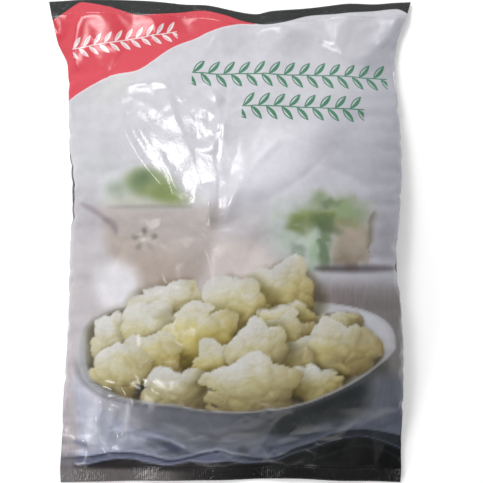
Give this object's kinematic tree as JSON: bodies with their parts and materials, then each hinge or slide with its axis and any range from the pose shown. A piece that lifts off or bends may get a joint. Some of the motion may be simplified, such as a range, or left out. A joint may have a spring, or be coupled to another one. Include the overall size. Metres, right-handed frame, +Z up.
{
  "type": "frozen vegetable bag",
  "caption": "Flat-lying pillow bag of frozen florets: one heat-sealed film pouch with a straight seal at each end, filled and slightly slack.",
  "frame": {"origin": "on the surface the bag lies on, under the middle of its outline", "axes": "+X across the bag to the right of its front, +Y along the bag towards its top seal, +Z up out of the printed front"},
  "size_m": [0.27, 0.36, 0.0627],
  "materials": {
    "printed_film": "glossy printed plastic film, wrinkled"
  },
  "bodies": {
    "root": {"bag": "printed_film"}
  },
  "joints": []
}
